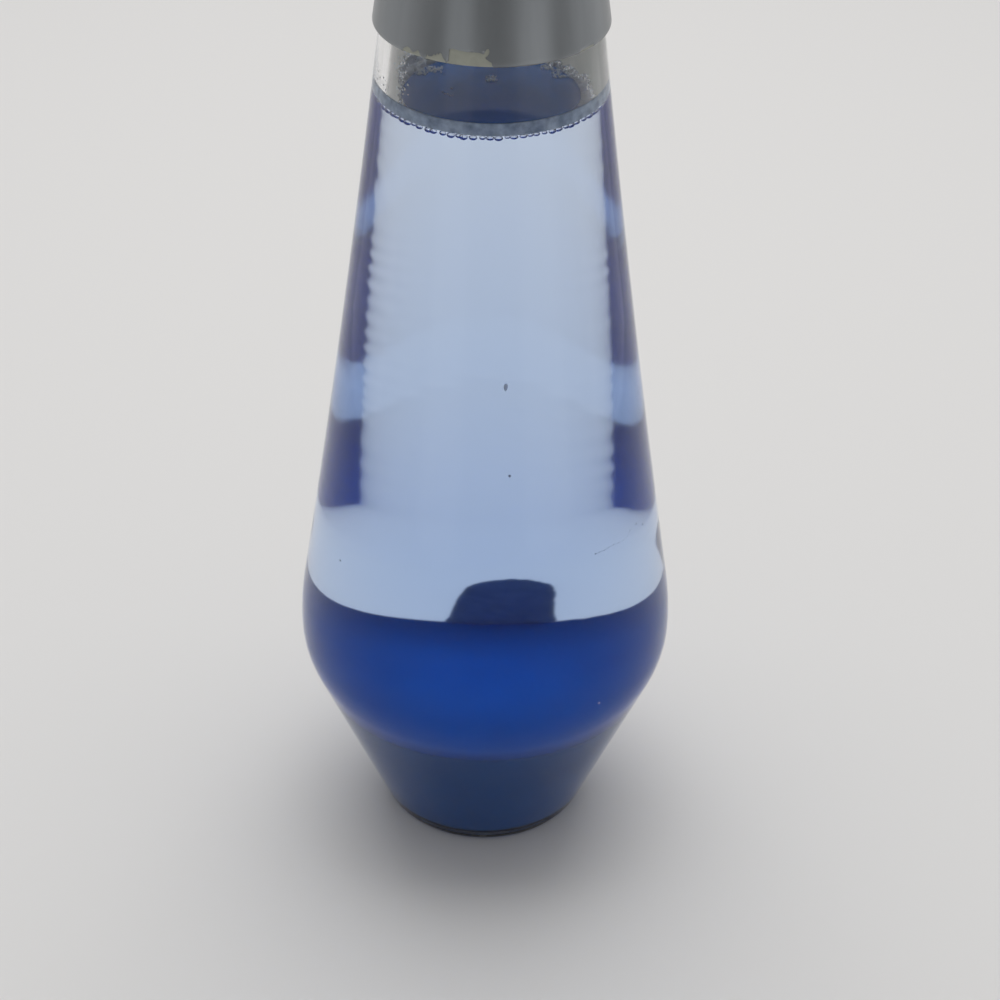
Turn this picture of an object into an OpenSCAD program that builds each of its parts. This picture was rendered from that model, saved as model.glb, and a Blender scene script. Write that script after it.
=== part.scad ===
// Globe of a liquid motion lamp: a sealed glass bottle of liquid and wax, under a loose metal cap.
// Millimetres, +Z up. The origin is on the ground, on the bottle's axis, and the back is at +Y.

/* [Glass globe] */
// Radius at which the lower cone's line meets the ground
foot_r = 24.4; // [22:0.1:27]
// Rounding of the foot's outer edge
foot_round = 2.5; // [1:0.1:3.5]
// Inner radius of the flat ring that the bottle stands on
rest_ring_r = 17; // [14:0.5:19]
// Rise of the hollow under the bottle
punt_h = 1.2; // [1:0.1:2]
// Glass between the hollow underneath and the inner floor
floor_t = 2.2; // [2:0.1:4]
// Rounding between the inner floor and the inner wall
floor_round = 2.5; // [1.5:0.5:4]
// Lean of the lower cone from the upright
cone_lean = 22; // [19:0.5:25]
// Radius of the belly at its widest
belly_r = 43.7; // [41:0.1:47]
// Radius of the belly's curve below its widest
belly_low_round = 23.5; // [18:0.5:28]
// Radius of the belly's curve above its widest
belly_high_round = 67; // [50:1:85]
// Depth of the side's slight hollow between the belly and the shoulder
side_hollow = 0.68; // [0.3:0.02:1]
// Radius at which the side meets the shoulder's line
shoulder_r = 22.1; // [21.5:0.1:23]
// Height at which the side meets the shoulder's line
shoulder_z = 206; // [204:0.5:209]
// Rounding of the shoulder
shoulder_round = 8; // [5:0.5:10]
// Thickness of the glass wall
glass_wall = 3; // [2:0.1:4]

/* [Neck] */
// Outer radius of the neck
neck_r = 12.2; // [11.8:0.1:12.8]
// Height at which the shoulder's line meets the neck
neck_z = 218; // [215:0.5:222]
// Rounding between the shoulder and the neck
neck_round = 5; // [3:0.5:6]
// Radius of the mouth's bore
bore_r = 8; // [7.5:0.1:8.5]
// Radius of the locking bead round the mouth
bead_r = 13.3; // [13:0.05:13.6]
// Height of the locking bead
bead_h = 6.5; // [5.5:0.1:7.5]
// Rounding of the bead's edges
bead_round = 1.6; // [1:0.1:2]
// Height of the mouth
mouth_z = 236; // [234:0.5:239]

/* [Filling] */
// Level of the settled wax
wax_z = 37; // [30:0.5:42]
// Level of the liquid
fill_z = 187; // [150:0.5:198]
// Gap between the filling and the glass
fill_gap = 0.1; // [0.05:0.05:0.3]
// Width of the wax lump at its base
lump_base_w = 11.4; // [8:0.1:16]
// Width of the wax lump at its top
lump_top_w = 9; // [6:0.1:12]
// Height of the wax lump
lump_h = 10.6; // [6:0.1:14]
// Thickness of the wax lump on the wall
lump_t = 2; // [1.2:0.1:3]
// Gap between the wax lump and the liquid round it
lump_gap = 0.3; // [0.3:0.05:0.6]
// Rounding of the lump's upper corners
lump_round = 2.5; // [1:0.1:3]
// Sideways place of the lump's base
lump_x = 1.3; // [-6:0.1:6]
// Sideways place of the lump's top over its base
lump_skew = 0.8; // [-2:0.1:2]

/* [Wire coil] */
// Radius of the ring that the coil is bent into
coil_ring_r = 14; // [12:0.5:15]
// Radius of one curl, to the middle of the wire
curl_r = 3; // [2:0.1:3.5]
// Radius of the wire
wire_r = 0.4; // [0.3:0.05:0.5]
// Number of curls round the ring
curls = 30; // [20:1:34]
// Angle left open between the coil's two ends
coil_open = 14; // [10:1:30]

/* [Crown closure] */
// Thickness of the sealing liner
liner_t = 1; // [0.6:0.1:1.5]
// Thickness of the crown's flat top
crown_sheet = 0.3; // [0.25:0.05:0.5]
// Height of the crown
crown_h = 6; // [5.5:0.1:6.5]
// Radius of the crown at its fluted edge
crown_edge_r = 16; // [15.6:0.1:16.4]
// Thickness of the crown's edge across a tooth
crown_edge_t = 1.1; // [0.9:0.1:1.3]
// Gap between the crown and the bead
crown_gap = 0.15; // [0.1:0.05:0.3]
// Rounding of the crown's top edge
crown_round = 1.8; // [1:0.1:2]
// Number of flutes round the crown
flutes = 21; // [18:1:24]
// Radius of one flute
flute_r = 1.7; // [1.2:0.1:1.9]
// Depth of a flute at the crown's edge
flute_depth = 0.8; // [0.5:0.05:0.85]

/* [Top cap] */
// Height of the cap's rim above the ground
cap_z = 202; // [198:0.5:204]
// Free height inside the cap above the crown
cap_head = 11.9; // [8:0.1:20]
// Radius at which the cap's side meets its flat top
cap_top_r = 16.8; // [16.5:0.1:19]
// Rounding of the cap's top edge
cap_round = 2.5; // [1.5:0.1:4]
// Thickness of the cap's sheet metal
cap_wall = 0.8; // [0.6:0.05:1]
// Diameter of the rolled hem round the cap's rim
hem_d = 1.1; // [1:0.05:1.6]
// Gap between the hem and the glass that it seats on
seat_gap = 0.3; // [0.2:0.05:0.5]

/* [Hidden] */
$fn = 96;
// Straight steps along a rounded corner, and along the side
arc_steps = 8;
side_steps = 12;
// Rings along one curl and sides round the wire
curl_rings = 8;
wire_sides = 6;
// Overshoot of a cutting solid
over = 1;

// Corners of the outer wall, from the ground to the neck
foot = [foot_r, 0];
shoulder = [shoulder_r, shoulder_z];
neck = [neck_r, neck_z];
cone_way = [sin(cone_lean), cos(cone_lean)];
cone_end_r = belly_r - belly_low_round * (1 - cos(cone_lean));
cone_end_z = (cone_end_r - foot_r) / tan(cone_lean);
belly_z = cone_end_z + belly_low_round * sin(cone_lean);
// The side starts where the belly's upper curve points along it, after a turn from the widest place
belly_middle = [belly_r - belly_high_round, belly_z];
side_aim = shoulder - belly_middle - [4 * side_hollow, 0];
side_turn = asin(belly_high_round / norm(side_aim)) - atan2(side_aim[0], side_aim[1]);
side_start = belly_middle + belly_high_round * [cos(side_turn), sin(side_turn)];
side_chord = shoulder - side_start;
bead_z = mouth_z - bead_h;
floor_z = punt_h + floor_t;
liner_z = mouth_z;
crown_top_r = bead_r + crown_gap + crown_sheet;
liner_r = crown_top_r - crown_round;
crown_z = mouth_z + liner_t + crown_sheet;
crown_edge_z = crown_z - crown_h;
cap_rim_r = side_point((cap_z - side_start[1]) / side_chord[1])[0] + seat_gap + hem_d;
cap_top_z = crown_z + cap_head + cap_wall;
coil_z = floor_z + fill_gap + curl_r + wire_r;

function unit(v) = v / norm(v);

// A point moved sideways from the line a to b, to the left of its direction
function beside(p, a, b, w) = let (d = unit(b - a)) p + w * [-d[1], d[0]];

// Where the line a to b crosses the line c to d
function meet(a, b, c, d) =
    let (u = b - a, v = d - c, w = c - a)
    a + u * (w[0] * v[1] - w[1] * v[0]) / (u[0] * v[1] - u[1] * v[0]);

// The arc of radius r that rounds the corner c between the points p and n
function rounded(p, c, n, r) =
    let (
        u = unit(p - c),
        v = unit(n - c),
        half = acos(u * v) / 2,
        middle = c + unit(u + v) * r / sin(half),
        a = c + u * r / tan(half) - middle,
        b = c + v * r / tan(half) - middle,
        start = atan2(a[1], a[0]),
        turn = atan2(a[0] * b[1] - a[1] * b[0], a * b)
    )
    [for (i = [0:arc_steps]) middle + r * [cos(start + turn * i / arc_steps), sin(start + turn * i / arc_steps)]];

// A belly curve of radius r, from the angle low to high, w in from the outer wall
function around(r, low, high, w) =
    [for (i = [0:arc_steps])
        let (t = low + (high - low) * i / arc_steps)
        [belly_r - r, belly_z] + (r - w) * [cos(t), sin(t)]];

// The side's point and its direction, at the share t of its height
function side_point(t) = side_start + t * side_chord - [4 * side_hollow * t * (1 - t), 0];
function side_way(t) = side_chord - [4 * side_hollow * (1 - 2 * t), 0];

// The wall from the lower cone's end to the shoulder, w in from the outer wall
function wall(w) =
    concat(
        around(belly_low_round, -cone_lean, 0, w),
        [for (p = around(belly_high_round, 0, side_turn, w)) if (p[1] > belly_z) p],
        [for (i = [1:side_steps])
            let (t = i / side_steps, p = side_point(t))
            beside(p, p, p + side_way(t), w)]
    );

function all_but_last(list) = [for (i = [0:len(list) - 2]) list[i]];

// Outline of the inside, w in from the outer wall and lift above the inner floor, from the axis up to the bore
function inside(w, lift) =
    let (
        body = wall(w),
        side = len(body) - 2,
        top_a = beside(shoulder, shoulder, neck, w),
        top_b = beside(neck, shoulder, neck, w),
        middle = [0, floor_z + lift],
        corner = meet(body[0] - cone_way, body[0], middle, middle + [1, 0]),
        under = meet(body[side], body[side + 1], top_a, top_b),
        throat = meet(top_a, top_b, [bore_r, 0], [bore_r, 1]),
        mouth = [bore_r, mouth_z]
    )
    concat(
        [middle],
        rounded(middle, corner, body[0], floor_round),
        all_but_last(body),
        rounded(body[side], under, throat, shoulder_round - w),
        rounded(under, throat, mouth, neck_round)
    );

function reversed(list) = [for (i = [len(list) - 1:-1:0]) list[i]];

// Everything inside the glass, from the floor up to the throat
module inner_space() {
    outline = inside(glass_wall + fill_gap, fill_gap);
    rotate_extrude()
        polygon(concat(outline, [[0, outline[len(outline) - 1][1]]]));
}

// The space w in from the outer wall, from the lower cone up to the shoulder
module core(w) {
    body = wall(w);
    low = beside(foot, foot, foot + cone_way, w);
    rotate_extrude()
        polygon(concat([[0, low[1]], low], body, [[0, body[len(body) - 1][1]]]));
}

// The lump's outline from the front, carried to the back wall, down to low and grown by a gap
module lump_column(low, grow) {
    half_base = lump_base_w / 2 + grow;
    half_top = lump_top_w / 2 + grow;
    top_z = wax_z + lump_h + grow;
    base_l = [lump_x - half_base, wax_z];
    base_r = [lump_x + half_base, wax_z];
    top_l = [lump_x + lump_skew - half_top, top_z];
    top_r = [lump_x + lump_skew + half_top, top_z];
    translate([0, belly_r, 0])
        rotate([90, 0, 0])
            linear_extrude(height = belly_r)
                polygon(concat(
                    [[base_l[0], low], [base_r[0], low]],
                    rounded(base_r, top_r, top_l, lump_round + grow),
                    rounded(top_r, top_l, base_l, lump_round + grow)
                ));
}

module glass_globe() {
    body = wall(0);
    punt = [rest_ring_r - punt_h, punt_h];
    ring = [rest_ring_r, 0];
    bead_low = [bead_r, bead_z];
    bead_top = [bead_r, mouth_z];
    under_bead = [neck_r, bead_z];
    color([0.86, 0.92, 0.94, 0.4])
        rotate_extrude()
            polygon(concat(
                [[0, punt_h]],
                rounded([0, punt_h], punt, ring, punt_h / 2),
                [ring],
                rounded(ring, foot, foot + cone_way, foot_round),
                all_but_last(body),
                rounded(body[len(body) - 2], shoulder, neck, shoulder_round),
                rounded(shoulder, neck, under_bead, neck_round),
                [under_bead],
                rounded(under_bead, bead_low, bead_top, (bead_r - neck_r) / 2),
                rounded(bead_low, bead_top, [bore_r, mouth_z], bead_round),
                [[bore_r, mouth_z]],
                reversed(inside(glass_wall, 0))
            ));
}

module fluid_fill() {
    color([0.62, 0.70, 0.84, 0.5])
        difference() {
            intersection() {
                inner_space();
                translate([0, 0, wax_z])
                    cylinder(r = belly_r, h = fill_z - wax_z);
            }
            difference() {
                lump_column(wax_z - over, lump_gap);
                core(glass_wall + fill_gap + lump_t + lump_gap);
            }
        }
}

module wax_pool() {
    color([0.10, 0.24, 0.55])
        intersection() {
            inner_space();
            cylinder(r = belly_r, h = wax_z);
        }
}

module wax_lump() {
    color([0.13, 0.20, 0.42])
        difference() {
            intersection() {
                inner_space();
                lump_column(wax_z, 0);
            }
            core(glass_wall + fill_gap + lump_t);
        }
}

// The coil's wire: a helix of curls, bent round a ring that stays open between its two ends
coil_span = 360 - coil_open;
coil_steps = curls * curl_rings;

function curl_angle(i) = 360 * i / curl_rings;
function ring_angle(i) = coil_open / 2 + coil_span * i / coil_steps;
function away(i) = let (t = curl_angle(i), p = ring_angle(i)) [cos(t) * cos(p), cos(t) * sin(p), sin(t)];
function ring_point(i) = let (p = ring_angle(i)) [coil_ring_r * cos(p), coil_ring_r * sin(p), coil_z];
function wire_point(i) = ring_point(i) + curl_r * away(i);

// Direction of the wire: its turn round the curl, and its share of the way round the ring
function wire_way(i) =
    let (
        t = curl_angle(i),
        p = ring_angle(i),
        along = coil_span / (360 * curls) * (coil_ring_r + curl_r * cos(t))
    )
    unit(curl_r * [-sin(t) * cos(p), -sin(t) * sin(p), cos(t)] + along * [-sin(p), cos(p), 0]);

// One ring of points round the wire, moved along it by shift
function wire_ring(i, shift) =
    let (out = away(i), way = wire_way(i), side = cross(way, out))
    [for (k = [0:wire_sides - 1])
        let (a = 360 * k / wire_sides)
        wire_point(i) + shift * way + wire_r * (cos(a) * out + sin(a) * side)];

// The least gap of the wire to itself, between points half a curl or more apart along it
coil_gap = min([for (i = [0:coil_steps - 1])
    min([for (j = [i + curl_rings / 2:coil_steps + curl_rings])
        j <= coil_steps ? norm(wire_point(i) - wire_point(j)) : coil_ring_r])]) - 2 * wire_r;

module wire_coil() {
    echo(coil_gap = coil_gap);
    rings = concat(
        [wire_ring(0, -2 * wire_r)],
        [for (i = [0:coil_steps]) wire_ring(i, 0)],
        [wire_ring(coil_steps, 2 * wire_r)]
    );
    last = len(rings) - 1;
    color([0.55, 0.56, 0.58])
        polyhedron(
            points = [for (ring = rings) each ring],
            faces = concat(
                [for (k = [1:wire_sides - 2]) [0, k, k + 1]],
                [for (k = [1:wire_sides - 2])
                    [last * wire_sides, last * wire_sides + k + 1, last * wire_sides + k]],
                [for (i = [0:last - 1], k = [0:wire_sides - 1])
                    let (a = i * wire_sides + k, b = i * wire_sides + (k + 1) % wire_sides)
                    each [[a, a + wire_sides, b], [b, a + wire_sides, b + wire_sides]]]
            )
        );
}

module crown_liner() {
    color([0.88, 0.86, 0.80])
        translate([0, 0, liner_z])
            cylinder(r = liner_r, h = liner_t);
}

// The crown's flutes fade out towards its top, so each is cut by a leaning cylinder
module crown_flute() {
    low = [crown_edge_r - flute_depth + flute_r, crown_edge_z];
    high = [crown_top_r + flute_r, crown_z];
    lean = atan2(low[0] - high[0], high[1] - low[1]);
    reach = norm(high - low) + 2 * over;
    translate([low[0], 0, low[1]])
        rotate([0, -lean, 0])
            translate([0, 0, -over])
                cylinder(r = flute_r, h = reach);
}

module crown_cap() {
    middle = [0, crown_z];
    corner = [crown_top_r, crown_z];
    skirt = [crown_top_r, crown_z - crown_round - crown_sheet];
    edge = [crown_edge_r, crown_edge_z];
    inner_edge = edge - [crown_edge_t, 0];
    inner_skirt = skirt - [crown_sheet, 0];
    inner_corner = corner - [crown_sheet, crown_sheet];
    inner_middle = middle - [0, crown_sheet];
    color([0.74, 0.74, 0.72])
        difference() {
            rotate_extrude()
                polygon(concat(
                    [middle],
                    rounded(middle, corner, skirt, crown_round),
                    [skirt, edge, inner_edge, inner_skirt],
                    rounded(inner_skirt, inner_corner, inner_middle, crown_round - crown_sheet),
                    [inner_middle]
                ));
            for (i = [0:flutes - 1])
                rotate([0, 0, 360 * i / flutes])
                    crown_flute();
        }
}

module top_cap() {
    rim = [cap_rim_r, cap_z];
    top = [cap_top_r, cap_top_z];
    middle = [0, cap_top_z];
    hem = rim + [-hem_d / 2, hem_d / 2];
    low = beside(rim, rim, top, cap_wall);
    high = beside(top, rim, top, cap_wall);
    inner_middle = middle - [0, cap_wall];
    inner_top = meet(low, high, inner_middle, inner_middle + [1, 0]);
    hem_top = meet(low, high, hem, hem + [1, 0]);
    outer_hem = meet(rim, top, hem, hem + [1, 0]);
    color([0.46, 0.46, 0.47])
        union() {
            rotate_extrude()
                polygon(concat(
                    [outer_hem],
                    rounded(rim, top, middle, cap_round),
                    [middle, inner_middle],
                    rounded(inner_middle, inner_top, low, cap_round - cap_wall),
                    [hem_top]
                ));
            rotate_extrude()
                translate(hem)
                    circle(d = hem_d);
        }
}

glass_globe();
fluid_fill();
wax_pool();
wax_lump();
wire_coil();
crown_liner();
crown_cap();
top_cap();
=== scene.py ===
"""Dresses the globe of a liquid motion lamp: glass, liquid, wax, closure and painted cap."""

import functools
import math
import random

import bmesh
import bpy
from mathutils import Euler, Matrix, Vector, geometry, noise


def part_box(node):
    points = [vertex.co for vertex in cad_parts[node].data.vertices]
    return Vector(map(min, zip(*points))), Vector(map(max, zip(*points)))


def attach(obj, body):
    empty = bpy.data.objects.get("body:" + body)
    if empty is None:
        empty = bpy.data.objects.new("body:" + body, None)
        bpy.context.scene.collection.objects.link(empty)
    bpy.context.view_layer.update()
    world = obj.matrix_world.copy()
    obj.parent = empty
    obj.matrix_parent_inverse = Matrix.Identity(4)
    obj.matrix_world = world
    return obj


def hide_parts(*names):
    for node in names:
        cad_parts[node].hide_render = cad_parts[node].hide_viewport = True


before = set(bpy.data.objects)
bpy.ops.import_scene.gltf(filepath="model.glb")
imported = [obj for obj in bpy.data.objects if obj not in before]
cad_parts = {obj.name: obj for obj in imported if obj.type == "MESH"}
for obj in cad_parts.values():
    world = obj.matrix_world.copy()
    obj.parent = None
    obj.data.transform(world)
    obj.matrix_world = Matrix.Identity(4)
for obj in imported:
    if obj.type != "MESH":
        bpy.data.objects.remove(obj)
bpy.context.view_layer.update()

MM = 0.001

# Driving sizes, as the CAD model has them: lengths in millimetres, angles in radians
FOOT_R, FOOT_ROUND = 24.4, 2.5
REST_RING_R, REST_RING_ROUND, PUNT_H = 17.0, 0.5, 1.2
FLOOR_T, FLOOR_ROUND = 2.2, 2.5
CONE_LEAN = math.radians(22)
BELLY_R, BELLY_LOW_ROUND, BELLY_HIGH_ROUND = 43.7, 23.5, 67.0
SIDE_HOLLOW = 0.68
SHOULDER_R, SHOULDER_Z, SHOULDER_ROUND = 22.1, 206.0, 8.0
GLASS_WALL = 3.0
NECK_R, NECK_Z, NECK_ROUND, BORE_R = 12.2, 218.0, 5.0, 8.0
BEAD_R, BEAD_H, BEAD_ROUND = 13.3, 6.5, 1.6
COIL_RING_R, CURL_R, WIRE_R, CURLS, COIL_OPEN = 14.0, 3.0, 0.4, 30, math.radians(14)
CROWN_SHEET, CROWN_GAP, CROWN_EDGE_R, CROWN_ROUND = 0.3, 0.15, 16.0, 1.8
FLUTES, FLUTE_DEPTH = 21, 0.8
CAP_TOP_R, CAP_ROUND, CAP_WALL, HEM_D = 16.8, 2.5, 0.8, 1.1

# Heights and the cap's radius, read from the frame, in millimetres
MOUTH_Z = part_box("glass_globe")[1][2] / MM
WAX_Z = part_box("wax_pool")[1][2] / MM
FILL_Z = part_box("fluid_fill")[1][2] / MM
CAP_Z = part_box("top_cap")[0][2] / MM
CAP_TOP_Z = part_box("top_cap")[1][2] / MM
CAP_RIM_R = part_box("top_cap")[1][0] / MM

TURNS = 256  # steps round a lathed piece
ARC_STEPS = 24  # steps of each belly arc
ROUND_STEPS = 12  # steps of each rounded corner
TINY = 1e-4  # places nearer than this are the same
SLACK = 0.01  # places nearer than this to a level or an edge are on it
ON_AXIS = 1e-6  # a point nearer than this to the axis is on it


# Outlines: points are Vector((radius, height)) in millimetres


def point(r, z):
    return Vector((r, z))


def beside(p, a, b, w):
    """A point moved w sideways from the line a to b, to the left of its direction."""
    d = (b - a).normalized()
    return p + w * Vector((-d.y, d.x))


def meet(a, b, c, d):
    """Where the line a to b crosses the line c to d."""
    u, v, w = b - a, d - c, c - a
    return a + u * ((w.x * v.y - w.y * v.x) / (u.x * v.y - u.y * v.x))


def rounded(p, c, n, r):
    """The arc of radius r that rounds the corner c between p and n."""
    u, v = (p - c).normalized(), (n - c).normalized()
    half = u.angle(v) / 2
    middle = c + (u + v).normalized() * (r / math.sin(half))
    a = c + u * (r / math.tan(half)) - middle
    b = c + v * (r / math.tan(half)) - middle
    start = math.atan2(a.y, a.x)
    turn = math.atan2(a.x * b.y - a.y * b.x, a.dot(b))
    angles = [start + turn * i / ROUND_STEPS for i in range(ROUND_STEPS + 1)]
    return [middle + r * Vector((math.cos(t), math.sin(t))) for t in angles]


FOOT, SHOULDER, NECK = point(FOOT_R, 0), point(SHOULDER_R, SHOULDER_Z), point(NECK_R, NECK_Z)
FLOOR_Z = PUNT_H + FLOOR_T
CONE_END_R = BELLY_R - BELLY_LOW_ROUND * (1 - math.cos(CONE_LEAN))
CONE_END_Z = (CONE_END_R - FOOT_R) / math.tan(CONE_LEAN)
BELLY_Z = CONE_END_Z + BELLY_LOW_ROUND * math.sin(CONE_LEAN)


def belly_end():
    """Angle at which the upper round turns into the hollow side, along the same tangent."""
    aim = SHOULDER - point(BELLY_R - BELLY_HIGH_ROUND + 4 * SIDE_HOLLOW, BELLY_Z)
    return math.asin(BELLY_HIGH_ROUND / aim.length) - math.atan2(aim.x, aim.y)


def around(r, low, high, steps, w):
    """Points of a belly arc of radius r, from the angle low to high, w inside the outer wall."""
    middle = point(BELLY_R - r, BELLY_Z)
    angles = [low + (high - low) * i / steps for i in range(steps + 1)]
    return [middle + (r - w) * point(math.cos(t), math.sin(t)) for t in angles]


def side(w, steps):
    """Points of the slightly hollow side from the belly to the shoulder, w inside the outer wall."""
    start = around(BELLY_HIGH_ROUND, 0, belly_end(), 1, 0)[1]
    chord = SHOULDER - start
    points = []
    for i in range(1, steps + 1):
        t = i / steps
        p = start + chord * t - point(4 * SIDE_HOLLOW * t * (1 - t), 0)
        way = chord - point(4 * SIDE_HOLLOW * (1 - 2 * t), 0)
        points.append(beside(p, p, p + way, w))
    return points


def wall(w, steps=ARC_STEPS):
    """Outline of the wall from the lower cone to the shoulder, w inside the outer wall."""
    low = around(BELLY_LOW_ROUND, -CONE_LEAN, 0, ARC_STEPS, w)
    high = around(BELLY_HIGH_ROUND, 0, belly_end(), ARC_STEPS, w)
    return low + high[1:] + side(w, steps)


@functools.cache
def inside(w):
    """Outline of the inside, w in from the outer wall, from the axis up to the mouth."""
    body = wall(w)
    bore = BORE_R + GLASS_WALL - w
    foot = body[0] - point(math.sin(CONE_LEAN), math.cos(CONE_LEAN))
    top = [beside(p, SHOULDER, NECK, w) for p in (SHOULDER, NECK)]
    middle = point(0, FLOOR_Z + w - GLASS_WALL)
    corner = meet(foot, body[0], middle, middle + point(1, 0))
    under = meet(body[-2], body[-1], *top)
    throat = meet(*top, point(bore, 0), point(bore, 1))
    mouth = point(bore, MOUTH_Z)
    return [
        middle,
        *rounded(middle, corner, body[0], FLOOR_ROUND),
        *body[:-2],
        *rounded(body[-3], under, throat, SHOULDER_ROUND - w),
        *rounded(under, throat, mouth, NECK_ROUND),
        mouth,
    ]


def cut_at(outline, *levels):
    """The outline with a point added where it crosses each level."""
    for z in levels:
        for i, (a, b) in enumerate(zip(outline, outline[1:])):
            if min(a.y, b.y) < z < max(a.y, b.y):
                outline = outline[: i + 1] + [a.lerp(b, (z - a.y) / (b.y - a.y))] + outline[i + 1 :]
                break
    return outline


def between(outline, low, high):
    """The stretch of an outline between two levels."""
    return [p for p in cut_at(outline, low, high) if low - TINY <= p.y <= high + TINY]


@functools.cache
def wall_r(w, z):
    """Radius of the surface w in from the outer wall, at a height."""
    return next(p.x for p in cut_at(inside(w), z) if abs(p.y - z) < TINY)


# Camera, fitted to the photograph; its rays also place small details on the surfaces that carry them

CAMERA_LENS, SENSOR, PICTURE = 79.2, 36.0, 1000
CAMERA_PLACE = Vector((3.13, -416.7, 376.6))
CAMERA_PITCH, CAMERA_ROLL = math.radians(35.06), math.radians(0.889)
CAMERA_TURN = Euler((math.pi / 2 - CAMERA_PITCH, 0, 0)).to_matrix() @ Matrix.Rotation(CAMERA_ROLL, 3, "Z")
NEAREST, FARTHEST, STEP = 380, 700, 0.5  # along a ray, in millimetres
HALVINGS = 20  # of the last step


def camera():
    data = bpy.data.cameras.new("camera")
    data.lens, data.sensor_width = CAMERA_LENS, SENSOR
    obj = bpy.data.objects.new("camera", data)
    bpy.context.scene.collection.objects.link(obj)
    obj.matrix_world = Matrix.Translation(CAMERA_PLACE * MM) @ CAMERA_TURN.to_4x4()
    bpy.context.scene.camera = obj


def view_way(x, y):
    """Direction of the ray through the picture's point x, y."""
    focal = CAMERA_LENS / SENSOR * PICTURE
    return (CAMERA_TURN @ Vector((x - PICTURE / 2, PICTURE / 2 - y, -focal))).normalized()


def hit(x, y, radius):
    """Where the ray through the picture's point x, y first comes within radius(z) of the axis, or None."""
    way = view_way(x, y)

    def within(t):
        p = CAMERA_PLACE + way * t
        return p.xy.length < radius(p.z)

    steps = range(int(NEAREST / STEP), int(FARTHEST / STEP))
    far = next((t * STEP for t in steps if within(t * STEP)), None)
    if far is None:
        return None
    near = far - STEP
    for _ in range(HALVINGS):
        t = (near + far) / 2
        near, far = (near, t) if within(t) else (t, far)
    return CAMERA_PLACE + way * far


# Meshes


def make(name, verts, faces, body, material):
    mesh = bpy.data.meshes.new(name)
    mesh.from_pydata([Vector(v) * MM for v in verts], [], faces)
    mesh.validate()
    for m in material if isinstance(material, (list, tuple)) else [material]:
        mesh.materials.append(m)
    mesh.polygons.foreach_set("use_smooth", [True] * len(mesh.polygons))
    obj = bpy.data.objects.new(name, mesh)
    bpy.context.scene.collection.objects.link(obj)
    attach(obj, body)
    return obj


def turned(p, t):
    """The outline point p at the angle t round the axis."""
    return Vector((p.x * math.cos(t), p.x * math.sin(t), p.y))


def lathe(name, outline, body, material, stretches=None, turns=TURNS, shape=None):
    """Turns an outline round the axis.

    stretches has the material slot of each stretch of the outline, and shape moves a point.
    """
    verts, faces, slots, rings = [], [], [], []
    for p in outline:
        if p.x < ON_AXIS:
            rings.append([len(verts)] * turns)
            verts.append(turned(p, 0))
            continue
        rings.append(range(len(verts), len(verts) + turns))
        verts += [turned(p, 2 * math.pi * k / turns) for k in range(turns)]
    for i, (a, b) in enumerate(zip(rings, rings[1:])):
        for k in range(turns):
            n = (k + 1) % turns
            faces.append(list(dict.fromkeys((a[k], a[n], b[n], b[k]))))
            slots.append(stretches[i] if stretches else 0)
    if shape:
        verts = [shape(v) for v in verts]
    obj = make(name, verts, faces, body, material)
    obj.data.polygons.foreach_set("material_index", slots)
    return obj


def ball(detail):
    """Points and faces of a round ball of radius 1."""
    shape = bmesh.new()
    bmesh.ops.create_icosphere(shape, subdivisions=detail, radius=1)
    points = [v.co.copy() for v in shape.verts]
    faces = [[v.index for v in f.verts] for f in shape.faces]
    shape.free()
    return points, faces


def scatter(name, places, body, material, detail=2, flip=False):
    """One piece of many balls: each place is a middle and the ball's three radii along its own axes."""
    points, ball_faces = ball(detail)
    verts, faces = [], []
    for middle, radii, axes in places:
        first = len(verts)
        verts += [middle + axes @ Vector((p.x * radii[0], p.y * radii[1], p.z * radii[2])) for p in points]
        faces += [[first + i for i in (reversed(f) if flip else f)] for f in ball_faces]
    return make(name, verts, faces, body, material)


# Materials

GRAIN_DETAIL = 6
GRAIN_LOW, GRAIN_HIGH = 0.3, 0.7  # values of the noise at which its two colours are reached
BUMP_HIGH = 0.0002  # in metres


def new_material(name):
    m = bpy.data.materials.new(name)
    m.use_nodes = True
    return m, m.node_tree.nodes, m.node_tree.links, m.node_tree.nodes["Principled BSDF"]


def clear(name, ior, roughness=0.0, mirror=1.0):
    """A clear material. mirror scales what its outer side reflects; its inner side reflects in full."""
    m, nodes, links, bsdf = new_material(name)
    bsdf.inputs["Base Color"].default_value = (1, 1, 1, 1)
    bsdf.inputs["Roughness"].default_value = roughness
    bsdf.inputs["IOR"].default_value = ior
    bsdf.inputs["Transmission Weight"].default_value = 1
    bsdf.inputs["Specular Tint"].default_value = (mirror, mirror, mirror, 1)
    if mirror < 1:
        facing, level = nodes.new("ShaderNodeNewGeometry"), nodes.new("ShaderNodeMapRange")
        level.inputs["To Min"].default_value = mirror
        links.new(facing.outputs["Backfacing"], level.inputs["Value"])
        links.new(level.outputs["Result"], bsdf.inputs["Specular Tint"])
    return m


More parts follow.
